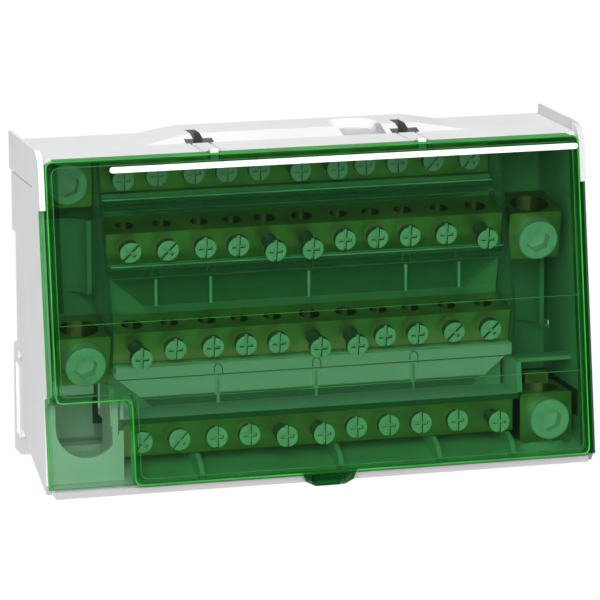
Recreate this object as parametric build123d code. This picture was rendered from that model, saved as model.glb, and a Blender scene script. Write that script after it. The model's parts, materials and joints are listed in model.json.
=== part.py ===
from build123d import *
import os
from math import sin, cos, tan, radians

# Four-pole distribution block: a moulded base that snaps on a 35 mm rail, four stepped brass bars with
# twelve screw terminals each, clear barriers between the rows and a see-through hinged front cover.
# X runs to the right, Y to the back, Z up. The sizes below are measured from the rear plane and from half
# height. At the end every piece is moved so that the origin is the middle of the rail seat.

os.makedirs("parts", exist_ok=True)

# Base housing
width = 180.0
top_z = 50.5
bottom_z = -55.3
cheek_wall = 1.8
cheek_crest = 1.0
cheek_rise = 3.0
cheek_round = 7.0
wall = 1.8
rear_notch = 3.0
rear_notch_z = 41.0
floor_rise = 2.0
back_gap = 0.8
back_wall = 2.6

# Rail seat and foot
rail_height = 35.0
rail_play = 2.0
rail_z = 3.3
rail_depth = 8.0
rail_lip = 2.2
rail_lip_height = 1.6
foot_back = 1.2
foot_bottom = -51.0
clip_x = 48.0
clip_width = 20.0
clip_rib = 13.0
clip_thickness = 3.2
clip_travel = 4.0
clip_play = 0.2

# Front cover
cover_top_y = -44.4
cover_lean = 8.1
cover_wall = 1.8
cover_bottom_z = -52.0
cover_round = 3.0
cover_depth = 4.5
cover_side_gap = 0.3
flange_reach = 4.2
flange_gap = 1.0
strip_top_z = 35.4
strip_wall = 1.5
strip_back = 1.3
corner_gap = 2.5
corner_z = -25.0
corner_back = 5.0
tab_half = 9.0
tab_drop = 4.4
tab_nib = 1.6
pin_radius = 1.2
pin_play = 0.05
eye_radius = 2.0
eye_width = 2.6
eye_slot = 3.4
tongue_width = 5.4
pin_back = 3.6
pin_drop = 1.0

# Raised pad on the top, its tongues and the finger hole
pad_middle = 2.7
pad_half = 38.5
pad_ramp = 12.0
pad_height = 2.0
pad_flat = 17.0
pad_length = 24.0
pad_flare = 3.5
tongue_spread = 34.3
tongue_slit = 0.8
groove_depth = 0.7
tongue_root = 14.0
finger_x = 21.5
finger_y = -11.5
finger_radius = 8.5
finger_depth = 3.2

# Brass bars: each row is given by its height, the depth of its face, its lean and the side of its feed lug
row_z = (40.1, 19.1, -11.4, -40.6)
row_face = (-17.7, -32.2, -40.8, -44.5)
row_lean = (0.0, 13.0, 13.0, 0.0)
row_side = (-1, 1, -1, 1)
bay_width = 24.0
bar_height = 10.4
bar_depth = 14.0
tongue_thick = 2.3
tongue_height = 7.2
tongue_depth = 10.8

# Terminals along a row, counted from the feed lug
end_margin = 7.4
pitch_drop = 1.45
wide_steps = (True, True, False, False, True, True, False, False, True, True)
large_ways = (0, 5, 6)
wire_depth = 6.5
wire_radius = 2.9
wire_radius_large = 3.5
screw_radius = 3.45
shank_radius = 2.4
thread_play = 0.05
tip_gap = 0.4
head_thick = 2.4
screw_out = 3.5
screw_out_large = 9.0
slot_width = 1.1
slot_depth = 1.2
cross_length = 4.4
cross_depth = 0.9
turned_ways = (9, 10)
slot_turn = 42.0

# Feed lugs and their socket screws
lug_gap = 1.6
lug_room = 6.4
lug_height = 16.2
lug_drop = (0.8, 2.2, 2.2, 0.8)
lug_front = 3.0
lug_back = 14.4
lug_edge = 0.6
cable_radius = 6.3
cable_depth = 4.4
feed_radius = 6.6
feed_edge = 0.25
feed_out = 4.5
hex_flats = 7.0
hex_depth = 3.8

# Deck that carries the bars, and the clear barriers
seat_gap = 0.3
deck_wall = 1.8
shelf_z = -34.0
shelf_front = -47.0
deck_back = -29.3
plate_wall = 1.0
barrier_wall = 1.4
barrier_rim = 2.4
barrier_reach = (4.0, 4.5, 4.2)
barrier_skirt = (1.8, 10.0, 10.0)
post_depth = 4.0
barrier_drop = (3.6, 2.2, 2.6)
barrier_taper = 12.0
post_x = (-32.5, 0.0, 32.5)
outer_post_margin = 15.5
post_width = 1.4
rib_x = (-40.0, 6.0, 39.0)
end_rib_margin = 2.0
rib_wall = 1.6

# Lower left corner of the base
hatch_margin = 1.5
hatch_lap = 0.5
hatch_z = -34.0
hatch_edge = 1.0
duct_margin = 0.2
duct_wall = 1.5
duct_low = (2.0, -17.0)
duct_height = 24.0
window_front = -46.8
window_back = -31.5
knock_out_skin = 0.7
entry_radius = 6.9
collar_radius = 8.4
ledge_gap = 3.0
ledge_front = -38.0
ledge_depth = 7.5
ledge_z = -23.8


# Values that follow from the sizes above
half = width / 2
inner_half = half - cheek_wall
cover_half = inner_half - cover_side_gap
cheek_top = top_z + cheek_rise
lean = tan(radians(cover_lean))
rail_top = rail_z + (rail_height + rail_play) / 2
rail_bottom = rail_z - (rail_height + rail_play) / 2
pin_y = cover_top_y + pin_back
pin_z = top_z - pin_drop
flange_back = cover_top_y + flange_reach
back_inner = -back_gap - back_wall
well_inner = -rail_depth - wall
floor_z = bottom_z + floor_rise
bore_radius = pin_radius + pin_play
bar_half = half - bay_width
pitch_wide = (2 * (bar_half - end_margin) + wide_steps.count(False) * pitch_drop) / len(wide_steps)
pitch_narrow = pitch_wide - pitch_drop
lug_width = bay_width - lug_room
lug_x = bar_half + lug_gap + lug_width / 2
corner_x = corner_gap - bar_half
outer_post_x = bar_half - outer_post_margin
rib_xs = (*rib_x, bar_half - end_rib_margin)
hatch_radius = bay_width / 2 - hatch_margin
hatch_x = hatch_lap - bar_half - hatch_radius
duct_radius = lug_width / 2 + duct_margin
ledge_x = bar_half + ledge_gap
tongue_xs = (pad_middle - 1 - tongue_spread, pad_middle - 1 + tongue_spread)


def cover_y(z):
    # Y of the cover's outer face at a height
    return cover_top_y - (top_z - z) * lean


def block(x0, x1, y0, y1, z0, z1):
    # A box between two corners
    return Pos((x0 + x1) / 2, (y0 + y1) / 2, (z0 + z1) / 2) * Box(x1 - x0, y1 - y0, z1 - z0)


def slab(points, x0, x1):
    # A side-view outline of (Y, Z) points, drawn out from x0 to x1
    outline = make_face(Polyline(*points, close=True))
    return extrude(Plane.YZ.offset(x0) * outline, amount=x1 - x0, dir=(1, 0, 0))


def ribbon(points, thickness, x0, x1):
    # A bent sheet that follows (Y, Z) points, drawn out from x0 to x1
    outline = trace(Polyline(*points), line_width=thickness)
    return extrude(Plane.YZ.offset(x0) * outline, amount=x1 - x0, dir=(1, 0, 0))


def rod(x, y, z, radius, length, axis):
    # A round bar centred on a point, along one axis
    turn = {"x": Rot(0, 90, 0), "y": Rot(90, 0, 0), "z": Rot(0, 0, 0)}[axis]
    return Pos(x, y, z) * turn * Cylinder(radius, length)


def row_place(row):
    return Location((0, row_face[row], row_z[row]), (row_lean[row], 0, 0))


def in_row(row, y, z):
    # Y and Z in the housing of a point given in a row's own frame
    turn = radians(row_lean[row])
    return (row_face[row] + y * cos(turn) - z * sin(turn), row_z[row] + y * sin(turn) + z * cos(turn))


def lug_top(row):
    # Top of a feed lug in its row's own frame
    return lug_height / 2 - lug_drop[row]


def way_xs(row):
    steps = [pitch_wide if wide else pitch_narrow for wide in wide_steps]
    x = -sum(steps) / 2
    places = [x]
    for step in steps:
        x += step
        places.append(x)
    return [-row_side[row] * x for x in places]


def cheek_outline(setback_z, setback):
    # Side view of a cheek: the front edge steps back under the cover's side strip
    strip = strip_back + strip_wall + 0.2
    low = floor_z + 1.0
    edge = cover_y(low) + strip
    points = [
        (0, cheek_top), (cover_y(cheek_top) + 0.3, cheek_top), (cover_y(strip_top_z) + 0.3, strip_top_z),
        (cover_y(strip_top_z) + strip, strip_top_z)]
    if setback:
        points += [(cover_y(setback_z) + strip, setback_z), (cover_y(setback_z) + setback, setback_z),
                   (edge + corner_back + 2.0, bottom_z)]
    else:
        points += [(edge, low), (edge + 2.5, bottom_z)]
    return points + [
        (-43.0, bottom_z + 1.9), (-26.0, bottom_z + 7.9), (-11.0, foot_bottom), (-foot_back, foot_bottom),
        (-foot_back - 1.0, rail_bottom), (-rail_depth, rail_bottom), (-rail_depth, rail_top),
        (-rear_notch, rail_top), (-rear_notch, rear_notch_z), (0, rear_notch_z)]


def cheek(side):
    setback = corner_back + cover_wall + 0.4 if side < 0 else 0
    outer, inner = side * half, side * inner_half
    plate = slab(cheek_outline(corner_z + strip_wall + 0.4, setback), min(outer, inner), max(outer, inner))
    rounded = plate.edges().filter_by(Axis.X).sort_by(lambda e: e.center().Y - e.center().Z)[0]
    plate = fillet(rounded, cheek_round)
    foot_mid = (rail_bottom + foot_bottom) / 2
    outside = side * (half - 0.4)
    plate -= Pos(outside, -12.5, foot_mid) * Box(1.0, 15.0, 24.0)
    plate -= block(min(outer, inner) - 1, max(outer, inner) + 1, -15.0, -8.5, rail_bottom - 4.2, rail_bottom - 1.6)
    plate -= block(min(outer, inner) - 1, max(outer, inner) + 1, -15.0, -8.5, foot_bottom + 5.4, foot_bottom + 8.0)
    plate -= Pos(outside, -18.0, rear_notch_z) * Box(1.0, 34.0, 0.6)
    crest = side * (half - cheek_crest)
    low_x, high_x = sorted((inner - side, crest))
    plate -= block(low_x, high_x, cover_top_y + cheek_round, 1, top_z, cheek_top + 1)
    return plate


def body_shell():
    # Top, back, rail well and floor between the cheeks, as one bent wall
    top = block(-inner_half, inner_half, flange_back + flange_gap, 0, top_z - wall, top_z)
    back = block(-inner_half, inner_half, back_inner, -back_gap, rail_top, top_z)
    well = slab([
        (back_inner, rail_top + wall), (well_inner, rail_top + wall), (well_inner, foot_bottom + 3.6),
        (-26.0, bottom_z + 7.9 + wall), (-43.0, floor_z + 1.9), (-50.0, floor_z),
        (cover_y(floor_z) + 3.2, floor_z), (cover_y(floor_z) + 3.2, bottom_z), (-50.5, bottom_z),
        (-43.0, bottom_z + 1.9), (-26.0, bottom_z + 7.9), (-11.0, foot_bottom), (-foot_back, foot_bottom),
        (-foot_back - 1.0, rail_bottom), (-rail_depth, rail_bottom), (-rail_depth, rail_top),
        (-back_gap, rail_top), (-back_gap, rail_top + wall)], -inner_half, inner_half)
    lip = block(-inner_half, inner_half, -rail_lip - back_gap, -back_gap, rail_top - rail_lip_height, rail_top)
    return top + back + well + lip


def top_pad():
    # Raised pad: a flat rear part, sloping sides and a sloping front
    rear_low = Polyline((-pad_half - pad_ramp, 0), (pad_half + pad_ramp, 0), (pad_half, pad_height),
                        (-pad_half, pad_height), close=True)
    front_low = Polyline((-pad_half - pad_ramp - pad_flare, 0), (pad_half + pad_ramp + pad_flare, 0),
                         (pad_half, pad_height), (-pad_half, pad_height), close=True)
    rear = Plane((pad_middle, 0, top_z), x_dir=(1, 0, 0), z_dir=(0, -1, 0)) * make_face(rear_low)
    front = Plane((pad_middle, -pad_length, top_z), x_dir=(1, 0, 0), z_dir=(0, -1, 0)) * make_face(front_low)
    pad = loft([rear.face(), front.face()])
    slope = slab([(-pad_flat, top_z + pad_height), (-pad_flat, top_z + pad_height + 2), (-pad_length - 2, top_z + 2),
                  (-pad_length - 1, top_z), (-pad_length, top_z)], -half, half)
    return pad - slope


def tongue_slits(x):
    # Two grooves mark the tongue in the top wall, and a T-shaped slot opens behind it
    front = flange_back + flange_gap - 1
    side = tongue_width / 2 + tongue_slit / 2
    low = top_z - groove_depth
    cut = block(x - side - tongue_slit / 2, x - side + tongue_slit / 2, front, -pad_length, low, top_z + 3)
    cut += block(x + side - tongue_slit / 2, x + side + tongue_slit / 2, front, -pad_length, low, top_z + 3)
    cut += block(x - 4.6, x - 1.5, -pad_length, -pad_length + 3.2, top_z - 3, top_z + 3)
    cut += block(x + 1.5, x + 4.6, -pad_length, -pad_length + 3.2, top_z - 3, top_z + 3)
    cut += block(x - 1.6, x + 1.6, -pad_length, -pad_length + tongue_root, top_z - 3, top_z + 3)
    return cut


def hinge_eye(x):
    # The tongue ends in an eye that holds the cover's pin
    front = flange_back + flange_gap
    arm = block(x - eye_width / 2, x + eye_width / 2, pin_y, front + 0.1, pin_z - 0.8, top_z)
    eye = rod(x, pin_y, pin_z, eye_radius, eye_width, "x") + arm
    return eye - rod(x, pin_y, pin_z, bore_radius, eye_width + 2, "x")


def finger_hole():
    # Round dished recess with a low front step
    dish = Pos(finger_x, finger_y, top_z + pad_height - finger_depth / 2) * Cone(
        finger_radius - 2.5, finger_radius, finger_depth)
    step = slab([(finger_y, top_z + pad_height - finger_depth), (finger_y, top_z + 3), (-pad_length, top_z + 3),
                 (-pad_length, top_z - 0.4), (-pad_length + 3, top_z - 1.0)], finger_x - 6.5, finger_x + 8.0)
    return dish + step


def deck():
    # Stepped floor under the bars: a shelf under each bar and a riser behind the next
    drop = -bar_height / 2 - seat_gap - deck_wall / 2
    back = bar_depth + seat_gap + deck_wall / 2
    first = row_z[0] + drop
    path = [(back_inner + 0.5, first), (row_face[0] - 1.5, first)]
    path += [in_row(1, back, drop), in_row(1, 1.0, drop)]
    knee = in_row(2, back, drop)
    path += [(knee[0] - 1.0, (path[-1][1] + knee[1]) / 2), knee, in_row(2, 1.0, drop)]
    path += [(deck_back - 1.5, in_row(2, 1.0, drop)[1] - 3.5), (deck_back - 1.5, shelf_z), (shelf_front, shelf_z)]
    steps = ribbon(path, deck_wall, -bar_half, bar_half)
    lower = block(-bar_half, bar_half, deck_back, deck_back + deck_wall, bottom_z + 6.0, shelf_z)
    return steps + lower


def bottom_ribs():
    # Upright ribs on the floor under the lowest bar
    top = row_z[3] - bar_height / 2 - seat_gap
    ribs = []
    for x in rib_xs:
        ribs.append(slab([
            (deck_back + 1, top), (row_face[3] - 1.0, top), (row_face[3] - 5.5, top - 2.0),
            (cover_y(floor_z) + 4.5, floor_z - 0.5), (-40.0, floor_z), (deck_back + 1, bottom_z + 7.0)],
            x - rib_wall / 2, x + rib_wall / 2))
    return ribs


def shelf_ends():
    # End walls of the lower shelf
    walls = []
    for side in (-1, 1):
        near, far = side * (bar_half + plate_wall - 0.1), side * (bar_half + plate_wall + 1.5)
        walls.append(slab([
            (deck_back, shelf_z - deck_wall / 2), (shelf_front, shelf_z - deck_wall / 2), (shelf_front, shelf_z + 2),
            (shelf_front + 1.5, -23.0), (deck_back, -23.0)], min(near, far), max(near, far)))
        walls.append(block(min(side * bar_half, near) - 0.1, max(side * bar_half, near) + 0.1, shelf_front,
                           deck_back, shelf_z - deck_wall / 2, shelf_z + deck_wall / 2))
    return walls


def lower_left_wall():
    # Wall behind the set-back corner of the cover, with its U-shaped hatch
    face_y = cover_y(corner_z) + corner_back + cover_wall + 0.5
    right = corner_x - 1.0
    top = corner_z - hatch_edge
    front = block(-inner_half - 0.1, right, face_y, face_y + wall, floor_z - 0.5, top)
    side_x = -bar_half - seat_gap
    side = block(side_x - wall, side_x, face_y, deck_back - 4.0, floor_z - 0.5, top)
    hatch = rod(hatch_x, face_y, hatch_z, hatch_radius, 4 * wall, "y")
    hatch += block(hatch_x - hatch_radius, hatch_x + hatch_radius, face_y - 2 * wall, face_y + 2 * wall, hatch_z,
                   top + 1)
    return front - hatch + side


def cable_ducts():
    # Half-round ducts that lead a cable down to the third lug and up to the second
    ducts = []
    y = well_inner - duct_radius + duct_wall / 2
    for side, low in zip((-1, 1), duct_low):
        middle = low + duct_height / 2
        tube = rod(side * lug_x, y, middle, duct_radius, duct_height, "z")
        tube -= rod(side * lug_x, y, middle, duct_radius - duct_wall, duct_height + 2, "z")
        tube -= block(side * lug_x - 20, side * lug_x + 20, y - 20, y, low - 1, low + duct_height + 1)
        ducts.append(tube)
    return ducts


def floor_top(y):
    # Height of the floor's upper face, which rises towards the back
    knots = [(-60.0, floor_z), (-50.0, floor_z), (-43.0, floor_z + 1.9), (-26.0, bottom_z + 7.9 + wall)]
    for (y0, z0), (y1, z1) in zip(knots, knots[1:]):
        if y <= y1:
            return z0 + (z1 - z0) * (y - y0) / (y1 - y0)


def knock_outs():
    # Pockets in the underside leave a thin skin that is broken out for the wires of the lowest bar
    edges = [-bar_half + 1.0] + list(rib_xs)
    low = bottom_z - 1
    outline = [(window_front, low)]
    outline += [(y, floor_top(y) - knock_out_skin) for y in (window_front, -43.0, window_back)]
    outline += [(window_back, low)]
    return [slab(outline, left + rib_wall + 0.6, right - rib_wall - 0.6) for left, right in zip(edges, edges[1:])]


def cable_collar():
    # Round entry in the floor under the lowest feed lug: the collar, and the hole through it
    middle = row_face[3] + cable_depth
    low, high = floor_z - 1.0, row_z[3] + lug_top(3) - lug_height - seat_gap
    collar = rod(lug_x, middle, (low + high) / 2, collar_radius, high - low, "z")
    hole = rod(lug_x, middle, floor_z, entry_radius, 20.0, "z")
    return collar, hole


def bay_ledge():
    # Ledge in the right bay, above the lowest feed lug
    return block(ledge_x, inner_half + 0.1, ledge_front, ledge_front + ledge_depth, ledge_z - 1.2, ledge_z)


def clip_space(x):
    # Room for a rail clip in the rear foot
    grow = clip_play
    pocket = block(x - clip_width / 2 - grow, x + clip_width / 2 + grow, -rail_depth + 1.0 - grow,
                   -rail_depth + 1.0 + clip_thickness + grow, foot_bottom - 2 * clip_travel, rail_bottom - 1.7)
    window = block(x - clip_rib / 2 - grow, x + clip_rib / 2 + grow, -rail_depth + 1.0 + clip_thickness - 1.6, 2,
                   foot_bottom - 2 * clip_travel, rail_bottom + 2)
    return pocket + window


def foot_pockets():
    # Open pockets behind the foot leave ribs between the clips
    cuts = []
    edge = clip_x + clip_width / 2 + 2.0
    inner = clip_x - clip_width / 2 - 2.0
    spans = [(-inner_half + 1.5, -edge), (edge, inner_half - 1.5)]
    count = 3
    pitch = (2 * inner + 2.0) / count
    spans += [(-inner + i * pitch, -inner + (i + 1) * pitch - 2.0) for i in range(count)]
    for x0, x1 in spans:
        cuts.append(block(x0, x1, -rail_depth, 2, foot_bottom + 2.0, rail_bottom - 2.0))
    return cuts


def base_housing():
    shell = body_shell() + cheek(-1) + cheek(1) + top_pad()
    for x in tongue_xs:
        shell -= tongue_slits(x)
    shell -= finger_hole()
    for x in tongue_xs:
        shell += hinge_eye(x)
    for cut in foot_pockets() + [clip_space(-clip_x), clip_space(clip_x)]:
        shell -= cut
    shell += deck()
    for cut in knock_outs():
        shell -= cut
    collar, entry = cable_collar()
    for extra in bottom_ribs() + shelf_ends() + cable_ducts() + [lower_left_wall(), bay_ledge(), collar]:
        shell += extra
    shell -= entry
    for row in range(4):
        shell -= lug_room(row)
    return shell


def lug_room(row):
    # Clear space round a feed lug and its tongue
    x = row_side[row] * lug_x
    top = lug_top(row)
    room = block(x - lug_width / 2 - seat_gap, x + lug_width / 2 + seat_gap, -lug_front - feed_out - 1,
                 lug_back + seat_gap, top - lug_height - seat_gap, top + seat_gap)
    return row_place(row) * room


def cover_local(x0, x1, y0, y1, z0, z1):
    # A box in the cover's own leaning frame, whose origin is the middle of its top front edge
    return Location((0, cover_top_y, top_z), (-cover_lean, 0, 0)) * block(x0, x1, y0, y1, z0, z1)


def cover_pan():
    # Shallow pan with a cut-back lower left corner, in its own leaning frame
    height = (top_z - cover_bottom_z) / cos(radians(cover_lean))
    corner = (top_z - corner_z) / cos(radians(cover_lean))
    outline = make_face(Polyline(
        (-cover_half, 0), (cover_half, 0), (cover_half, -height), (corner_x, -height),
        (corner_x, -corner), (-cover_half, -corner), close=True))
    outer = fillet(outline.vertices(), cover_round)
    hollow = offset(outer, amount=-cover_wall)
    frame = Plane((0, 0, 0), x_dir=(1, 0, 0), z_dir=(0, -1, 0))
    pan = extrude(frame * outer, amount=cover_depth, dir=(0, 1, 0))
    pan -= extrude(frame.offset(-cover_wall) * hollow, amount=cover_depth, dir=(0, 1, 0))
    plate = block(-cover_half, corner_x + cover_wall, corner_back, corner_back + cover_wall, -height, -corner)
    plate += block(corner_x, corner_x + cover_wall, 0.5, corner_back + 0.5, -height + cover_round, -corner)
    plate += block(-cover_half + cover_round, corner_x + 1, 0.5, corner_back + 0.5, -corner, -corner + cover_wall)
    return Location((0, cover_top_y, top_z), (-cover_lean, 0, 0)) * (pan + plate)


def cover_strips():
    # Side strips that lie in front of the cheek edges
    top = (top_z - strip_top_z) / cos(radians(cover_lean))
    low = (top_z - cover_bottom_z) / cos(radians(cover_lean))
    corner = (top_z - corner_z) / cos(radians(cover_lean))
    strips = [cover_local(cover_half - 0.5, half, strip_back, strip_back + strip_wall, -low, -top)]
    strips.append(cover_local(-half, -cover_half + 0.5, strip_back, strip_back + strip_wall, -corner, -top))
    strips.append(cover_local(-half, -cover_half + 0.5, corner_back, corner_back + cover_wall, -low, -corner))
    strips.append(cover_local(-half, -cover_half + 0.5, strip_back, corner_back + cover_wall, -corner,
                              -corner + strip_wall))
    return strips


def cover_flange():
    # Top flange, gapped at each tongue, with a hinge pin across each gap
    rear = flange_back
    flange = block(-cover_half + cover_round, cover_half - cover_round, cover_top_y + 0.4, rear, top_z - cover_wall,
                   top_z)
    for x in tongue_xs:
        flange -= block(x - eye_slot / 2, x + eye_slot / 2, cover_top_y + cover_wall + 0.2, 0, top_z - 4, top_z + 4)
        flange += rod(x, pin_y, pin_z, pin_radius, eye_slot + 1.0, "x")
    return flange


def thumb_tab():
    # Curved lip below the middle of the cover, with a finger window and a nib that catches under the base
    front = cover_y(cover_bottom_z) - 0.8
    rear = cover_y(floor_z) + 3.0
    outline = make_face(Polyline((-tab_half, 0), (tab_half, 0), (tab_half - 1.2, -tab_drop + 1.4),
                                 (tab_half - 4.0, -tab_drop), (4.0 - tab_half, -tab_drop),
                                 (1.2 - tab_half, -tab_drop + 1.4), close=True))
    plane = Plane((0, front, cover_bottom_z + 0.6), x_dir=(1, 0, 0), z_dir=(0, -1, 0))
    lip = extrude(plane * outline, amount=rear - front - 0.2, dir=(0, 1, 0))
    lip -= block(-tab_half + 3.5, tab_half - 3.5, front + 1.6, rear - 1.4, cover_bottom_z - 9, cover_bottom_z - 0.6)
    lip -= block(-tab_half + 4.5, tab_half - 4.5, front - 1, front + 3, cover_bottom_z - 2.6, cover_bottom_z - 0.8)
    nib_top = bottom_z - seat_gap
    nib = block(-4.0, 4.0, rear - 1.2, rear + tab_nib, nib_top - 0.9, nib_top)
    stem = block(-4.0, 4.0, rear - 1.4, rear - 0.2, nib_top - 0.9, cover_bottom_z)
    return lip + nib + stem


def front_cover():
    cover = cover_pan() + cover_flange() + thumb_tab()
    for strip in cover_strips():
        cover += strip
    for x in tongue_xs:
        cover -= rod(x, pin_y, pin_z, eye_radius + 0.3, eye_slot, "x") - rod(x, pin_y, pin_z, pin_radius, 9, "x")
    return cover


def busbar(row):
    # Drilled brass bar with a thin tongue that enters the feed lug
    bar = block(-bar_half, bar_half, 0, bar_depth, -bar_height / 2, bar_height / 2)
    side = row_side[row]
    inner, outer = side * (bar_half - 2), side * (lug_x + lug_width / 2 - 1.2)
    base = -bar_height / 2 + 0.2
    bar += block(min(inner, outer), max(inner, outer), tongue_depth, tongue_depth + tongue_thick, base,
                 base + tongue_height)
    for number, x in enumerate(way_xs(row)):
        radius = wire_radius_large if number in large_ways else wire_radius
        bar -= rod(x, wire_depth, 0, radius, bar_height + 2, "z")
        bar -= rod(x, wire_depth / 2 - 0.5, 0, shank_radius + thread_play, wire_depth + 1, "y")
    return row_place(row) * bar


def feed_lug(row):
    # Block with a cable hole from top to bottom, a bore for its screw and a slot for the bar's tongue
    x = row_side[row] * lug_x
    top = lug_top(row)
    middle = top - lug_height / 2
    lug = block(x - lug_width / 2, x + lug_width / 2, -lug_front, lug_back, top - lug_height, top)
    lug = chamfer(lug.edges().filter_by(Axis.Y), lug_edge)
    lug -= rod(x, cable_depth, middle, cable_radius, lug_height + 2, "z")
    lug -= rod(x, -lug_front + 2, middle, feed_radius + thread_play, 6, "y")
    base = -bar_height / 2 + 0.2
    gap = seat_gap / 2
    toward_bar = x - row_side[row] * (lug_width / 2 + 1)
    far = x + row_side[row] * (lug_width / 2 - 1.2 + gap)
    lug -= block(min(toward_bar, far), max(toward_bar, far), tongue_depth - gap, tongue_depth + tongue_thick + gap,
                 base - gap, base + tongue_height + gap)
    if row == 3:
        lug += block(x - 2.5, x + 5.5, cable_depth + cable_radius + 0.4, lug_back, top - 0.5, top + 3.5)
    return row_place(row) * lug


def feed_screw(row):
    # Plain round screw with a hexagon socket
    x = row_side[row] * lug_x
    middle = lug_top(row) - lug_height / 2
    front = -lug_front - feed_out
    tip = cable_depth - cable_radius - thread_play
    screw = rod(x, (front + tip) / 2, middle, feed_radius, tip - front, "y")
    screw = chamfer(screw.edges().sort_by(Axis.Y)[0], feed_edge)
    socket = RegularPolygon(hex_flats / 2, 6, major_radius=False, rotation=20)
    plane = Plane((x, front, middle), x_dir=(1, 0, 0), z_dir=(0, -1, 0))
    screw -= extrude(plane * socket, amount=hex_depth, dir=(0, 1, 0))
    return row_place(row) * screw


def way_screws(row, large):
    # The screws of one size in one row, with a slot and a short cross cut
    out = screw_out_large if large else screw_out
    screws = []
    for number, x in enumerate(way_xs(row)):
        if (number in large_ways) != large:
            continue
        hole = wire_radius_large if large else wire_radius
        tip = wire_depth - hole - tip_gap
        screw = rod(x, -out + head_thick / 2, 0, screw_radius, head_thick, "y")
        screw += rod(x, (tip - out + head_thick) / 2, 0, shank_radius, tip + out - head_thick, "y")
        turn = slot_turn if number in turned_ways else 0
        slot = Box(slot_width, 2 * slot_depth, 3 * screw_radius) + Box(cross_length, 2 * cross_depth, slot_width)
        screw -= Pos(x, -out, 0) * Rot(0, turn, 0) * slot
        screws.append(row_place(row) * screw)
    return Compound(children=screws)


def barrier(row):
    # Clear strip below a row: a plate with an upturned rim, and a tapered skirt with posts at its rear
    z = row_z[row] - bar_height / 2 - barrier_drop[row]
    rear = in_row(row, 0, -bar_height / 2)[0] - 0.4
    if row == 0:
        rear = row_face[0] - 1.5 - deck_wall / 2 - seat_gap
    front = rear - barrier_reach[row]
    end = bar_half - seat_gap
    skirt = barrier_skirt[row]
    strip = block(-end, end, front, rear, z - barrier_wall, z)
    strip += block(-end, end, front, front + barrier_wall, z - barrier_wall, z + barrier_rim)
    taper = make_face(Polyline((-end, 0), (end, 0), (end - barrier_taper, -skirt), (barrier_taper - end, -skirt),
                               close=True))
    plane = Plane((0, rear - barrier_wall, z - barrier_wall + 0.01), x_dir=(1, 0, 0), z_dir=(0, -1, 0))
    strip += extrude(plane * taper, amount=barrier_wall, dir=(0, 1, 0))
    posts = list(post_x) + ([-outer_post_x, outer_post_x] if row == 1 else [])
    for x in posts:
        strip += block(x - post_width / 2, x + post_width / 2, rear - post_depth, rear, z - skirt, z - 0.2)
    return strip


def end_plate(side):
    # Clear upright plate between the feed lugs and the ways, notched for the tongues that cross it
    near, far = side * (bar_half + seat_gap), side * (bar_half + seat_gap + plate_wall)
    edge = 8.0
    plate = slab([
        (back_inner - 0.3, row_z[0] + 7.0), (row_face[0] - edge, row_z[0] + 7.0),
        (row_face[0] - edge - 5, row_z[1] + 12.0), (row_face[2] - 3.0, row_z[2] + 7.0),
        (row_face[2] - 1.0, row_z[2] - 8.0), (row_face[2] + 8.0, row_z[2] - 9.5), (-17.0, row_z[1] - 10.0),
        (-17.0, row_z[1] + 14), (back_inner - 0.3, row_z[0] - 8.0)], min(near, far), max(near, far))
    for row in range(4):
        if row_side[row] == side:
            base = -bar_height / 2 + 0.2
            notch = block(min(near, far) - 2, max(near, far) + 2, tongue_depth - 0.3, bar_depth + 6.0,
                          base - 0.3, base + tongue_height + 0.3)
            plate -= row_place(row) * notch
    return plate


def rail_clip(side):
    # Sliding clip in the foot: a flat slide, a raised rib, a nose behind the rail and a pull end below
    x = side * clip_x
    front = -rail_depth + 1.0
    back = front + clip_thickness
    clip = block(x - clip_width / 2, x + clip_width / 2, front, back, foot_bottom + 5.0, rail_bottom - 2.0)
    clip += block(x - clip_rib / 2, x + clip_rib / 2, front + 1.6 + clip_play, -foot_back - 1.2,
                  foot_bottom + 1.0, rail_bottom - 1.0)
    clip += slab([
        (front + clip_thickness - 1.6 + clip_play, rail_bottom - 1.2), (-foot_back - 1.2, rail_bottom - 1.2),
        (-foot_back - 1.2, rail_bottom + 2.6), (front + clip_thickness - 1.6 + clip_play, rail_bottom + 1.2)],
        x - clip_rib / 2, x + clip_rib / 2)
    clip += block(x - clip_rib / 2, x + clip_rib / 2, front, -foot_back - 1.2, foot_bottom - 3.0, foot_bottom + 5.2)
    clip -= block(x - 3.0, x + 3.0, front - 1, 1, foot_bottom - 1.8, foot_bottom - 0.6)
    return clip


pieces = {"base_housing": base_housing(), "front_cover": front_cover()}
for row in range(4):
    name = str(row + 1)
    pieces["busbar_" + name] = busbar(row)
    pieces["feed_lug_" + name] = feed_lug(row)
    pieces["feed_screw_" + name] = feed_screw(row)
    pieces["small_way_screws_" + name] = way_screws(row, False)
    pieces["large_way_screws_" + name] = way_screws(row, True)
for row in range(3):
    pieces["barrier_" + str(row + 1)] = barrier(row)
for side, name in ((-1, "left"), (1, "right")):
    pieces["end_plate_" + name] = end_plate(side)
    pieces["rail_clip_" + name] = rail_clip(side)

to_rail_seat = Pos(0, rail_depth, -rail_z)
for name, shape in pieces.items():
    solids = [to_rail_seat * solid for solid in shape.solids()]
    export_step(solids[0] if len(solids) == 1 else Compound(children=solids), "parts/" + name + ".step")
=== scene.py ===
import bpy
import json
import math
from mathutils import Matrix, Vector


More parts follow.
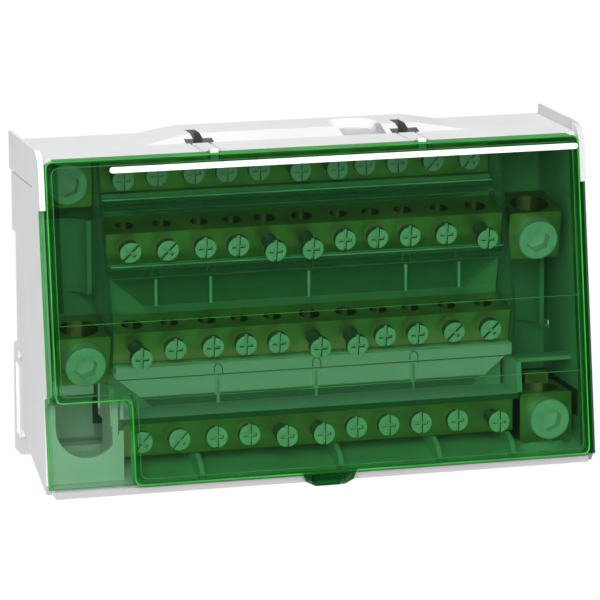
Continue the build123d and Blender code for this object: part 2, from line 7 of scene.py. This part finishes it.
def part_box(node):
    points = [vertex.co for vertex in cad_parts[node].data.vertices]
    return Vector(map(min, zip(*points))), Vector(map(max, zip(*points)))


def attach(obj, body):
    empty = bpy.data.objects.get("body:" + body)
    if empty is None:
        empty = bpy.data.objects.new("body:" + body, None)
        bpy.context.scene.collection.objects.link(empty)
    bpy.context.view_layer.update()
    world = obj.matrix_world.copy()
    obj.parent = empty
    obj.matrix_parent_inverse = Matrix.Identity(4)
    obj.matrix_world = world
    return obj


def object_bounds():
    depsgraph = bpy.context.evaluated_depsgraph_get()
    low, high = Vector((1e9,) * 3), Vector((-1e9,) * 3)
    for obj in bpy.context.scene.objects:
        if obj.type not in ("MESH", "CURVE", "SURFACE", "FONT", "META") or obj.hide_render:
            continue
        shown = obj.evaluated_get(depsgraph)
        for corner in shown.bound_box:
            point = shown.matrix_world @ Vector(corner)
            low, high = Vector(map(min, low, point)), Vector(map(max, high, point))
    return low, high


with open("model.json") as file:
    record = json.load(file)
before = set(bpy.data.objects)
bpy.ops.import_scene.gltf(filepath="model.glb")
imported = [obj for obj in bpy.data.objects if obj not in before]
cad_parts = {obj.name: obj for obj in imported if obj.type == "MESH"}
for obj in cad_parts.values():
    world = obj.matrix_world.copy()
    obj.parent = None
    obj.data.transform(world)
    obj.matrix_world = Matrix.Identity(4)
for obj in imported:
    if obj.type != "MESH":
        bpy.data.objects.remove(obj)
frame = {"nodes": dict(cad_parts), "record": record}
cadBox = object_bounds()
millimetre = 0.001
upward = (0, 0, 1)
forward = (0, -1, 0)
barAxis = (0, -0.985, 0.17)  # about the way the bars and their screws face
coverAxis = (0, -0.99, 0.141)  # square to the cover's front plate


class Sock:
    # one shader output that takes part in plain arithmetic
    def __init__(self, net, out):
        self.net = net
        self.out = out

    def math(self, operation, *values):
        return self.net.node("ShaderNodeMath", {"operation": operation}, dict(enumerate(values)))

    def __add__(self, other):
        return self.math("ADD", self, other)

    def __radd__(self, other):
        return self.math("ADD", other, self)

    def __sub__(self, other):
        return self.math("SUBTRACT", self, other)

    def __rsub__(self, other):
        return self.math("SUBTRACT", other, self)

    def __mul__(self, other):
        return self.math("MULTIPLY", self, other)

    def __rmul__(self, other):
        return self.math("MULTIPLY", other, self)

    def above(self, limit):
        return self.math("GREATER_THAN", self, limit)

    def below(self, limit):
        return self.math("LESS_THAN", self, limit)

    def size(self):
        return self.math("ABSOLUTE", self)

    def either(self, other):
        return self.math("MAXIMUM", self, other)

    def between(self, low, high):
        # 0 below low, 1 above high, straight in between
        inputs = {"Value": self, "From Min": low, "From Max": high}
        return self.net.node("ShaderNodeMapRange", {"clamp": True}, inputs)


class Net:
    # the nodes of one material or world
    def __init__(self, owner):
        self.owner = owner
        owner.use_nodes = True
        self.tree = owner.node_tree
        self.tree.nodes.clear()

    def feed(self, socket, value):
        # a link or a value; colours are written with three numbers
        if isinstance(value, Sock):
            self.tree.links.new(value.out, socket)
        elif socket.type == "RGBA":
            socket.default_value = (*value, 1.0)
        else:
            socket.default_value = value

    def node(self, kind, settings=None, inputs=None, output=0):
        made = self.tree.nodes.new(kind)
        for name, value in (settings or {}).items():
            setattr(made, name, value)
        for name, value in (inputs or {}).items():
            self.feed(made.inputs[name], value)
        if made.outputs:
            return Sock(self, made.outputs[output])

    def axes(self):
        # the three object coordinates in metres
        spot = self.node("ShaderNodeTexCoord", output="Object")
        split = self.node("ShaderNodeSeparateXYZ", None, {0: spot}).out.node
        return [Sock(self, out) for out in split.outputs]

    def toward(self, direction):
        # how far a face looks along a direction of the world, either way
        facing = self.node("ShaderNodeNewGeometry", output="Normal")
        return self.node("ShaderNodeVectorMath", {"operation": "DOT_PRODUCT"},
                         {0: facing, 1: direction}, output="Value").size()

    def noise(self, size, detail=2.0, stretch=(1, 1, 1)):
        # noise with features of a size in millimetres
        spot = self.node("ShaderNodeTexCoord", output="Object")
        spot = self.node("ShaderNodeVectorMath", {"operation": "MULTIPLY"}, {0: spot, 1: stretch})
        inputs = {"Vector": spot, "Scale": 1 / (size * millimetre), "Detail": detail}
        return self.node("ShaderNodeTexNoise", None, inputs)

    def blend(self, factor, low, high):
        # a colour between two: 6, 7 and output 2 are the Mix node's colour sockets
        return self.node("ShaderNodeMix", {"data_type": "RGBA"}, {0: factor, 6: low, 7: high}, output=2)

    def bump(self, height, strength, distance=0.1):
        inputs = {"Height": height, "Strength": strength, "Distance": distance * millimetre}
        return self.node("ShaderNodeBump", None, inputs)

    def shaded(self, **inputs):
        names = {name.replace("_", " "): value for name, value in inputs.items()}
        return self.node("ShaderNodeBsdfPrincipled", None, names)

    def clear(self, tint):
        return self.node("ShaderNodeBsdfTransparent", None, {"Color": tint})

    def mixed(self, factor, first, second):
        return self.node("ShaderNodeMixShader", None, {0: factor, 1: first, 2: second})

    def finish(self, surface, kind="ShaderNodeOutputMaterial"):
        self.node(kind, None, {"Surface": surface})
        return self.owner


def materialNet(name):
    return Net(bpy.data.materials.new(name))


def within(axes, limits):
    # 1 between the limits of each axis, in millimetres, and 0 elsewhere
    mask = 1
    for axis, name in zip(axes, "xyz"):
        low, high = limits.get(name, (None, None))
        if low is not None:
            mask = axis.above(low * millimetre) * mask
        if high is not None:
            mask = axis.below(high * millimetre) * mask
    return mask


def dimmed(colour, share):
    return tuple(share * part for part in colour)


# White base housing. Painted shade darkens its bays, slots, finger hole and edges, region by region, and
# painted light brightens the back of the low bay
baseLook = {"cloud": 30.0, "grain": 0.5, "spread": (0.35, 0.65), "low": (0.80, 0.81, 0.815),
            "high": (0.85, 0.855, 0.86), "rough": 0.36, "roughSpread": 0.16, "bump": 0.12,
            "bayDepth": (-34, -12), "lowBayPaintedLight": (0.35, 0.32, 0.34), "frontal": 0.6, "level": 0.5}
baseRegions = {  # limits in millimetres
    "aheadOfBack": {"y": (None, -1)},
    "raisedPart": {"y": (None, 6.8), "z": (20.5, None)},
    "hollow": {"x": (-88.3, 88.3), "z": (-57.5, 45.7)},
    "lowBay": {"x": (None, -65.5), "y": (-30, None), "z": (-50, -21)},
    "lowBayBack": {"y": (-24, None), "z": (-36, None)},
    "behindRow": {"x": (-66, None), "y": (-37, None), "z": (-46, -37.2)},
    "shelfEdge": {"x": (-66, None), "y": (None, -35), "z": (-39.6, -36)},
    "leftSlot": {"x": (-37.4, -27.8), "y": (-16.2, -1.5), "z": (43.5, None)},
    "rightSlot": {"x": (31.2, 40.8), "y": (-16.2, -1.5), "z": (43.5, None)},
    "slotFloor": {"z": (None, 46.6)},
    "fingerHole": {"x": (12.8, 30.2), "y": (-15.5, 5.5), "z": (45.2, None)},
    "fingerFloor": {"z": (None, 46.5)},
    "bottomLip": {"z": (None, -55.8)},
    "rightCheek": {"x": (88.3, None)},
    "belowFlare": {"z": (None, 31.5)}}
basePaint = {  # colour and share of each shade, in the order of painting
    "bays": ((0.30, 0.33, 0.31), 0.55),
    "behindRow": ((0.10, 0.12, 0.11), 1.0),
    "fingerHole": ((0.40, 0.40, 0.40), 0.7),
    "slots": ((0.13, 0.13, 0.13), 1.0),
    "shelfEdge": ((0.16, 0.20, 0.17), 1.0),
    "bottomLip": ((0.46, 0.44, 0.46), 1.0),
    "rightCheek": ((0.45, 0.45, 0.45), 0.5),
    "rightEdge": ((0.20, 0.25, 0.21), 1.0)}


def basePlastic():
    net = materialNet("base_plastic")
    cloud = net.noise(baseLook["cloud"], detail=3.0)
    grain = net.noise(baseLook["grain"])
    axes = net.axes()
    region = {name: within(axes, limits) for name, limits in baseRegions.items()}
    frontal = net.toward(forward).above(baseLook["frontal"])
    upright = 1 - net.toward(upward).above(baseLook["level"])
    inside = region["hollow"] * region["aheadOfBack"].either(region["raisedPart"])
    lowBay = inside * region["lowBay"]
    depth = axes[1].between(*(limit * millimetre for limit in baseLook["bayDepth"]))
    masks = {
        "bays": inside * depth * (1 - lowBay),
        "behindRow": inside * region["behindRow"],
        "fingerHole": region["fingerHole"] * region["fingerFloor"].either(upright),
        "slots": region["leftSlot"].either(region["rightSlot"]) * region["slotFloor"].either(upright),
        "shelfEdge": inside * frontal * region["shelfEdge"],
        "bottomLip": frontal * region["bottomLip"],
        "rightCheek": region["rightCheek"],
        "rightEdge": region["rightCheek"] * region["belowFlare"] * frontal}
    colour = net.blend(cloud.between(*baseLook["spread"]), baseLook["low"], baseLook["high"])
    # painted shade, laid on region by region
    for name, (shade, share) in basePaint.items():
        colour = net.blend(masks[name] * share, colour, shade)
    # painted light: the back of the low bay glows
    paintedGlow = net.blend(lowBay * region["lowBayBack"], (0, 0, 0), baseLook["lowBayPaintedLight"])
    rough = baseLook["rough"] + grain * baseLook["roughSpread"]
    return net.finish(net.shaded(Base_Color=colour, Roughness=rough,
                                 Normal=net.bump(grain, baseLook["bump"]),
                                 Emission_Color=paintedGlow, Emission_Strength=1.0))


# Grey rail clips
clipLook = {"cloud": 12.0, "grain": 0.5, "spread": (0.35, 0.65), "low": (0.50, 0.51, 0.52),
            "high": (0.58, 0.59, 0.60), "rough": 0.40, "roughSpread": 0.15, "bump": 0.15}


def clipPlastic():
    net = materialNet("clip_plastic")
    cloud = net.noise(clipLook["cloud"], detail=3.0)
    grain = net.noise(clipLook["grain"])
    colour = net.blend(cloud.between(*clipLook["spread"]), clipLook["low"], clipLook["high"])
    rough = clipLook["rough"] + grain * clipLook["roughSpread"]
    return net.finish(net.shaded(Base_Color=colour, Roughness=rough,
                                 Normal=net.bump(grain, clipLook["bump"])))


# Brass bars and lugs, drawn along x. Faces that look neither up nor the bars' way are bore walls, which carry
# painted shade
brassLook = {"streak": 0.5, "stretch": (0.03, 1, 1), "cloud": 9.0, "spread": (0.3, 0.7),
             "low": (0.71, 0.56, 0.24), "high": (0.85, 0.72, 0.37), "level": 0.7, "facing": 0.85,
             "boreShade": (0.16, 0.17, 0.07), "boreShare": 0.7,
             "rough": 0.26, "streakRough": 0.16, "cloudRough": 0.08, "bump": 0.25}


def brass():
    net = materialNet("drawn_brass")
    streak = net.noise(brassLook["streak"], detail=3.0, stretch=brassLook["stretch"])
    cloud = net.noise(brassLook["cloud"], detail=4.0)
    colour = net.blend(cloud.between(*brassLook["spread"]), brassLook["low"], brassLook["high"])
    level = net.toward(upward).above(brassLook["level"])
    # painted shade on the bore walls
    walls = (1 - level) * net.toward(barAxis).below(brassLook["facing"])
    colour = net.blend(walls * brassLook["boreShare"], colour, brassLook["boreShade"])
    rough = brassLook["rough"] + streak * brassLook["streakRough"] + cloud * brassLook["cloudRough"]
    return net.finish(net.shaded(Base_Color=colour, Metallic=1.0, Roughness=rough,
                                 Normal=net.bump(streak, brassLook["bump"])))


# Plated screws: light heads with painted shade on their sides, less of it on the feed screws, painted shade
# over the top row, and a painted glow
steelLook = {"cloud": 3.0, "grain": 0.35, "spread": (0.3, 0.7), "low": (0.78, 0.79, 0.80),
             "high": (0.93, 0.93, 0.94), "facing": (0.6, 0.85), "sideShade": (0.10, 0.11, 0.11),
             "waySides": 1.0, "feedSides": 0.5,
             "topRow": 28, "topShade": (0.12, 0.13, 0.13), "topShare": 0.4,
             "metal": 0.45, "rough": 0.38, "roughSpread": 0.25, "bump": 0.3, "paintedGlow": 0.2}


def steel(name, sideShare):
    net = materialNet(name)
    cloud = net.noise(steelLook["cloud"], detail=4.0)
    grain = net.noise(steelLook["grain"], detail=3.0)
    colour = net.blend(cloud.between(*steelLook["spread"]), steelLook["low"], steelLook["high"])
    # painted shade on the screws' sides
    sides = 1 - net.toward(barAxis).between(*steelLook["facing"])
    colour = net.blend(sides * sideShare, colour, steelLook["sideShade"])
    # painted shade over the top row
    topRow = within(net.axes(), {"z": (steelLook["topRow"], None)})
    colour = net.blend(topRow * steelLook["topShare"], colour, steelLook["topShade"])
    rough = steelLook["rough"] + grain * steelLook["roughSpread"]
    # a painted glow over the whole screw
    return net.finish(net.shaded(Base_Color=colour, Metallic=steelLook["metal"], Roughness=rough,
                                 Normal=net.bump(grain, steelLook["bump"]),
                                 Emission_Color=colour, Emission_Strength=steelLook["paintedGlow"]))


# See-through sheets. The green cover has regions of a paler tint, painted light, and of a darker tint,
# painted shade
sheetLook = {"wave": 25.0, "waveBump": 0.05, "waveDepth": 0.4, "grain": 0.8, "ior": 1.5,
             "hazeAndLightRough": 0.5, "hazeAndLightDim": 0.9, "hazeAndLightLow": 0.9, "hazeAndLightSpread": 0.2, "paintedLightFade": 0.6,
             "edgeRough": 0.25, "edgeDim": 0.8, "edgeFacing": (0.55, 0.9)}
greenCover = {"tint": (0.42, 0.67, 0.48), "paintedLightTint": (0.64, 0.785, 0.675), "paintedShadeTint": (0.22, 0.50, 0.28),
              "gloss": 0.03, "shine": 0.15, "hazeAndPaintedLight": 0.0, "hazeAndPaintedLightColour": (0.2, 0.7, 0.3), "paintedHazeGlow": 0.0,
              "edge": (0.0, 0.17, 0.012), "edgeAlpha": 0.93, "edgeShare": 0.95, "paintedGlow": 0.25}
clearSheet = {"tint": (0.74, 0.82, 0.78), "gloss": 0.04, "shine": 0.9,
              "hazeAndPaintedLight": 0.03, "hazeAndPaintedLightColour": (0.9, 0.92, 0.91), "paintedHazeGlow": 0.0,
              "edge": (0.55, 0.72, 0.62), "edgeAlpha": 0.6, "edgeShare": 0.45, "paintedGlow": 0.05}
# Barrier 3: a pale grey haze glows over its skirt, painted light
paintedLightSheet = {**clearSheet, "hazeAndPaintedLight": 0.87, "hazeAndPaintedLightColour": (0.46, 0.435, 0.45), "paintedHazeGlow": 0.8,
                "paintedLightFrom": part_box("barrier_3")[0][2] + 0.0028}  # the painted light starts above the plate's foot
coverRegions = {  # limits in millimetres
    "corner": {"x": (None, -62.5), "z": (None, -28.5)},
    "leftStrip": {"x": (None, -87.8)},
    "rightStrip": {"x": (87.8, None)},
    "band": {"x": (-85.6, -83.8), "z": (0, None)},
    "tab": {"x": (-10.5, 10.5), "z": (None, -55.5)}}
coverShares = {"rightStrip": 0.6, "tab": 0.5}  # how much of the painted shade tint they take


def coverTints(net, kind):
    # the corner and the left strip let more light through, as painted light, and the band, the tab and the
    # right strip less, as painted shade
    axes = net.axes()
    region = {name: within(axes, limits) for name, limits in coverRegions.items()}
    darker = region["band"]
    for name, share in coverShares.items():
        darker = darker.either(region[name] * share)
    front = net.mixed(darker, net.clear(kind["tint"]), net.clear(kind["paintedShadeTint"]))
    return net.mixed(region["corner"].either(region["leftStrip"]), front, net.clear(kind["paintedLightTint"]))


def seeThrough(name, kind):
    # light passes the plates, a share of haze lies over them, which on barrier 3 is a glowing haze of painted
    # light, and narrow edges take more colour and a glow, painted light for the light the edges gather
    net = materialNet(name)
    grain = net.noise(sheetLook["grain"])
    wave = net.noise(sheetLook["wave"], detail=1.0)
    normal = net.bump(wave, sheetLook["waveBump"], sheetLook["waveDepth"])
    clear = coverTints(net, kind) if "paintedLightTint" in kind else net.clear(kind["tint"])
    shine = net.node("ShaderNodeBsdfGlossy", None,
                     {"Color": (1, 1, 1), "Roughness": kind["gloss"], "Normal": normal})
    fresnel = net.node("ShaderNodeFresnel", None, {"IOR": sheetLook["ior"], "Normal": normal})
    sheet = net.mixed(fresnel * kind["shine"], clear, shine)
    hazeAndLightTone = net.blend(grain, kind["hazeAndPaintedLightColour"], dimmed(kind["hazeAndPaintedLightColour"], sheetLook["hazeAndLightDim"]))
    # the haze layer; on barrier 3 it glows, as painted light
    hazeAndPaintedLight = net.shaded(Base_Color=hazeAndLightTone, Roughness=sheetLook["hazeAndLightRough"],
                      Emission_Color=hazeAndLightTone, Emission_Strength=kind["paintedHazeGlow"])
    share = kind["hazeAndPaintedLight"] * (sheetLook["hazeAndLightLow"] + grain * sheetLook["hazeAndLightSpread"])
    # barrier 3's painted light starts above the plate's foot
    if "paintedLightFrom" in kind:
        full = kind["paintedLightFrom"] + sheetLook["paintedLightFade"] * millimetre
        share = share * net.axes()[2].between(kind["paintedLightFrom"], full)
    sheet = net.mixed(share, sheet, hazeAndPaintedLight)
    # painted light on the narrow edges: a deeper colour with a glow
    rim = net.blend(grain, kind["edge"], dimmed(kind["edge"], sheetLook["edgeDim"]))
    edge = net.shaded(Base_Color=rim, Roughness=sheetLook["edgeRough"], Alpha=kind["edgeAlpha"],
                      Emission_Color=kind["edge"], Emission_Strength=kind["paintedGlow"])
    narrow = 1 - net.toward(coverAxis).between(*sheetLook["edgeFacing"])
    return net.finish(net.mixed(narrow * kind["edgeShare"], sheet, edge))


looks = {
    "base_plastic": basePlastic(),
    "clip_plastic": clipPlastic(),
    "brass": brass(),
    "steel": steel("zinc_plated_steel", steelLook["waySides"]),
    "cover_plastic": seeThrough("green_cover", greenCover),
    "clear_plastic": seeThrough("clear_barrier", clearSheet)}
paintedLightBarrier = seeThrough("barrier_painted_light", paintedLightSheet)
feedSteel = steel("feed_screw_steel", steelLook["feedSides"])
slotNames = {part["node"]: part["material_slot"] for part in frame["record"]["subparts"]}
for name, node in frame["nodes"].items():
    for slot in node.material_slots:
        slot.material = looks[slotNames[name]]
        if name == "barrier_3":
            slot.material = paintedLightBarrier
        if name.startswith("feed_screw"):
            slot.material = feedSteel
print("materials done")


# The camera of the photograph: place in millimetres from the rail seat, angles in degrees
view = {"place": (-375.9, -1381.5, 288.7), "yaw": 15.40, "pitch": 11.757, "roll": -0.298,
        "lens": 267.97, "sensor": 36, "clipEnd": 20}


def photoCamera():
    camera = bpy.data.objects.new("camera", bpy.data.cameras.new("camera"))
    bpy.context.scene.collection.objects.link(camera)
    yaw, pitch, roll = (math.radians(view[name]) for name in ("yaw", "pitch", "roll"))
    ahead = Vector((math.sin(yaw) * math.cos(pitch), math.cos(yaw) * math.cos(pitch), -math.sin(pitch)))
    right = Vector((math.cos(yaw), -math.sin(yaw), 0))
    up = right.cross(ahead)
    turnedRight = right * math.cos(roll) + up * math.sin(roll)
    turnedUp = up * math.cos(roll) - right * math.sin(roll)
    turn = Matrix((turnedRight, turnedUp, -ahead)).transposed().to_4x4()
    camera.matrix_world = Matrix.Translation(Vector(view["place"]) * millimetre) @ turn
    camera.data.lens = view["lens"]
    camera.data.sensor_width = view["sensor"]
    camera.data.clip_end = view["clipEnd"]
    bpy.context.scene.camera = camera


# Floor, world and lights, in metres. The floor and the world look plain white to the camera alone
room = {"floorSize": 6, "floorDrop": 0.4, "floorCloud": 400.0, "floorLow": (0.86, 0.86, 0.86),
        "floorHigh": (0.9, 0.9, 0.9), "floorRough": 0.9, "white": (1, 1, 1), "softLight": 0.52}
lights = {"key": {"place": (-0.45, -1.45, 0.6), "target": (0, -0.02, 0), "size": 0.9, "power": 21},
          "overhead": {"place": (0.1, 0.1, 1.3), "target": (0, 0, 0), "size": 0.8, "power": 4.2}}


def paleFloor():
    level = cadBox[0][2] - room["floorDrop"]
    bpy.ops.mesh.primitive_plane_add(size=room["floorSize"], location=(0, 0, level))
    floor = bpy.context.object
    floor.name = "floor"
    net = materialNet("pale_floor")
    cloud = net.noise(room["floorCloud"])
    seen = net.node("ShaderNodeLightPath", output="Is Camera Ray")
    paper = net.shaded(Base_Color=net.blend(cloud, room["floorLow"], room["floorHigh"]),
                       Roughness=room["floorRough"])
    white = net.node("ShaderNodeEmission", None, {"Color": room["white"], "Strength": 1.0})
    floor.data.materials.append(net.finish(net.mixed(seen, paper, white)))


def whiteWorld():
    net = Net(bpy.data.worlds.new("studio"))
    seen = net.node("ShaderNodeLightPath", output="Is Camera Ray")
    soft, bright = (net.node("ShaderNodeBackground", None, {"Color": room["white"], "Strength": strength})
                    for strength in (room["softLight"], 1.0))
    bpy.context.scene.world = net.finish(net.mixed(seen, soft, bright), "ShaderNodeOutputWorld")


def areaLights():
    for name, values in lights.items():
        light = bpy.data.lights.new(name, "AREA")
        light.shape = "DISK"
        light.size = values["size"]
        light.energy = values["power"]
        lamp = bpy.data.objects.new(name, light)
        bpy.context.scene.collection.objects.link(lamp)
        place = Vector(values["place"])
        lamp.location = place
        lamp.rotation_euler = (Vector(values["target"]) - place).to_track_quat("-Z", "Y").to_euler()


photoCamera()
paleFloor()
whiteWorld()
areaLights()
bpy.context.scene.view_settings.view_transform = "Standard"
print("camera and lights done")


# The cover's outer face, as its top edge (y, z) in millimetres and its lean from upright in degrees
coverFace = {"top": (-36.4, 47.2), "lean": 8.1}


def coverPoint(x, z, out):
    # a point on the cover's outer face at a height, and some way out from it, in metres
    lean = math.radians(coverFace["lean"])
    y = coverFace["top"][0] - (coverFace["top"][1] - z) * math.tan(lean)
    return Vector((x, y - out * math.cos(lean), z + out * math.sin(lean))) * millimetre


# Printed white stripe near the top of the cover, with round ends. Its layer goes from just under
# the cover's face to just proud of it
stripe = {"left": -67.2, "right": 87.6, "height": 1.9, "z": 43.6, "layer": (-0.02, 0.06), "steps": 10,
          "grain": 0.6, "low": (0.93, 0.93, 0.93), "high": (0.98, 0.98, 0.98), "rough": 0.45, "bump": 0.05}


def whitePrint():
    net = materialNet("white_print")
    grain = net.noise(stripe["grain"])
    colour = net.blend(grain, stripe["low"], stripe["high"])
    return net.finish(net.shaded(Base_Color=colour, Roughness=stripe["rough"],
                                 Normal=net.bump(grain, stripe["bump"])))


def printedStripe():
    radius = stripe["height"] / 2
    rim = []
    for end, start in ((stripe["right"] - radius, -90), (stripe["left"] + radius, 90)):
        for step in range(stripe["steps"] + 1):
            angle = math.radians(start + 180 * step / stripe["steps"])
            rim.append((end + radius * math.cos(angle), stripe["z"] + radius * math.sin(angle)))
    points = [coverPoint(x, z, out) for out in stripe["layer"] for x, z in rim]
    count = len(rim)
    faces = [tuple(range(count, 2 * count)), tuple(reversed(range(count)))]
    for index in range(count):
        after = (index + 1) % count
        faces.append((index, after, count + after, count + index))
    mesh = bpy.data.meshes.new("printed_stripe")
    mesh.from_pydata(points, [], faces)
    piece = bpy.data.objects.new("printed_stripe", mesh)
    bpy.context.scene.collection.objects.link(piece)
    mesh.materials.append(whitePrint())
    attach(piece, "cover")


# Painted highlights: glowing beads along polished plastic edges, for the light the edges gather, with the
# colour and glow of each
edgeNoise = {"size": 14.0, "spread": (0.35, 0.65), "dimmest": 0.6, "rough": 0.2}
edgeColours = {"bright_green_edge": ((0.004, 0.38, 0.012), 0.35),
               "dim_green_edge": ((0.01, 0.24, 0.02), 0.15),
               "bright_clear_edge": ((0.75, 0.88, 0.80), 0.12),
               "dim_clear_edge": ((0.30, 0.42, 0.34), 0.05)}


def paintedEdgeHighlight(name, colour, paintedGlow):
    net = materialNet(name)
    along = net.noise(edgeNoise["size"])
    tone = net.blend(along.between(*edgeNoise["spread"]), dimmed(colour, edgeNoise["dimmest"]), colour)
    return net.finish(net.shaded(Base_Color=tone, Roughness=edgeNoise["rough"],
                                 Emission_Color=tone, Emission_Strength=paintedGlow))


def addCurve(name, paths, radius, look, body, closed=False):
    # thin round beads along paths of points in metres, with a radius in millimetres
    curve = bpy.data.curves.new(name, "CURVE")
    curve.dimensions = "3D"
    curve.bevel_depth = radius * millimetre
    curve.bevel_resolution = 2
    for path in paths:
        spline = curve.splines.new("POLY")
        spline.points.add(len(path) - 1)
        for point, place in zip(spline.points, path):
            point.co = (*place, 1)
        spline.use_cyclic_u = closed
    piece = bpy.data.objects.new(name, curve)
    bpy.context.scene.collection.objects.link(piece)
    curve.materials.append(look)
    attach(piece, body)


def roundedPath(corners, radius, steps=5):
    # a closed outline of (x, z) corners with rounded turns
    path = []
    for index, corner in enumerate(corners):
        here = Vector(corner)
        back = (Vector(corners[index - 1]) - here).normalized()
        ahead = (Vector(corners[(index + 1) % len(corners)]) - here).normalized()
        for step in range(steps + 1):
            share = step / steps
            start, end = here + back * radius, here + ahead * radius
            path.append(start.lerp(here, share).lerp(here.lerp(end, share), share))
    return path


# Edges of the cover's front plate and of the corner that is set back, with the left strip's
# edge as (z, out) points and two creases as (left end, z)
coverEdge = {"half": 87.9, "top": 47.2, "bottom": -55.3, "cornerX": -63.5, "cornerZ": -28.3, "round": 2.4,
             "out": -0.12, "outer": {"inset": 0.25, "radius": 0.26}, "inner": {"inset": 2.1, "radius": 0.16},
             "stripX": -89.7, "strip": ((32.0, -1.3), (-27.6, -1.3), (-28.6, -5.0), (-55.0, -5.0)),
             "stripRadius": 0.24, "creases": ((-86, -4.0), (-66, -28.2)), "creaseEnd": 86.5,
             "creaseRadius": 0.09}


def coverBeads(bright, dim):
    # painted highlights along the cover's edges and creases
    for kind, look in (("outer", bright), ("inner", dim)):
        inset = coverEdge[kind]["inset"]
        left, right = -coverEdge["half"] + inset, coverEdge["half"] - inset
        top, bottom = coverEdge["top"] - inset, coverEdge["bottom"] + inset
        stepX, stepZ = coverEdge["cornerX"] + inset, coverEdge["cornerZ"] + inset
        corners = [(left, top), (right, top), (right, bottom), (stepX, bottom), (stepX, stepZ), (left, stepZ)]
        path = [coverPoint(x, z, coverEdge["out"]) for x, z in roundedPath(corners, coverEdge["round"])]
        addCurve("cover_edge_" + kind, [path], coverEdge[kind]["radius"], look, "cover",
                 closed=True)
    strip = [coverPoint(coverEdge["stripX"], z, out) for z, out in coverEdge["strip"]]
    addCurve("cover_strip_edge", [strip], coverEdge["stripRadius"], bright, "cover")
    creases = [[coverPoint(x, z, 0.0) for x in (start, coverEdge["creaseEnd"])]
               for start, z in coverEdge["creases"]]
    addCurve("cover_creases", creases, coverEdge["creaseRadius"], dim, "cover")


# Painted highlights on the clear barriers: glowing beads along the rim's crest, the plate's edge, and the
# posts with their hooks.
# Heights are drops from the rim, the hook is (x, drop) from its post, all in millimetres
barrierEdge = {"posts": {"barrier_1": (), "barrier_2": (-50.5, -32.5, 0.0, 32.5, 50.5),
                         "barrier_3": (-32.5, 0.0, 32.5)},
               "rimDrop": 0.2, "frontOut": 0.05, "endGap": 0.5, "plateDrop": 3.9,
               "postIn": 0.4, "postDrop": 4.6, "postFoot": 0.4,
               "hook": ((-1.3, 3.4), (-1.2, 1.4), (-0.5, 0.5), (0.6, 0.6), (1.4, 1.8), (1.5, 4.2)),
               "radius": {"bright": 0.24, "faint": 0.18, "post": 0.5}}


def barrierBeads(bright, dim):
    # painted highlights along the barriers' edges and posts
    for name, places in barrierEdge["posts"].items():
        low, high = (Vector(corner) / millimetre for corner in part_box(name))
        rim = high.z - barrierEdge["rimDrop"]
        front = low.y - barrierEdge["frontOut"]
        left, right = low.x + barrierEdge["endGap"], high.x - barrierEdge["endGap"]
        plate = rim - barrierEdge["plateDrop"]
        back = front + barrierEdge["postIn"]
        hooks = [[(x + along, front, rim - drop) for along, drop in barrierEdge["hook"]] for x in places]
        uprights = [[(x, back, rim - barrierEdge["postDrop"]), (x, back, low.z + barrierEdge["postFoot"])]
                    for x in places]
        for kind, paths, look in (("bright", [[(left, front, rim), (right, front, rim)]], bright),
                                  ("faint", [[(left, front, plate), (right, front, plate)]] + hooks, dim),
                                  ("post", uprights, bright)):
            if not paths:
                continue
            metres = [[Vector(point) * millimetre for point in path] for path in paths]
            radius = barrierEdge["radius"][kind]
            addCurve(name + "_" + kind + "_edges", metres, radius, look, "base")


edges = {name: paintedEdgeHighlight(name, colour, paintedGlow) for name, (colour, paintedGlow) in edgeColours.items()}
printedStripe()
coverBeads(edges["bright_green_edge"], edges["dim_green_edge"])
barrierBeads(edges["bright_clear_edge"], edges["dim_clear_edge"])
print("stripe and edges done")
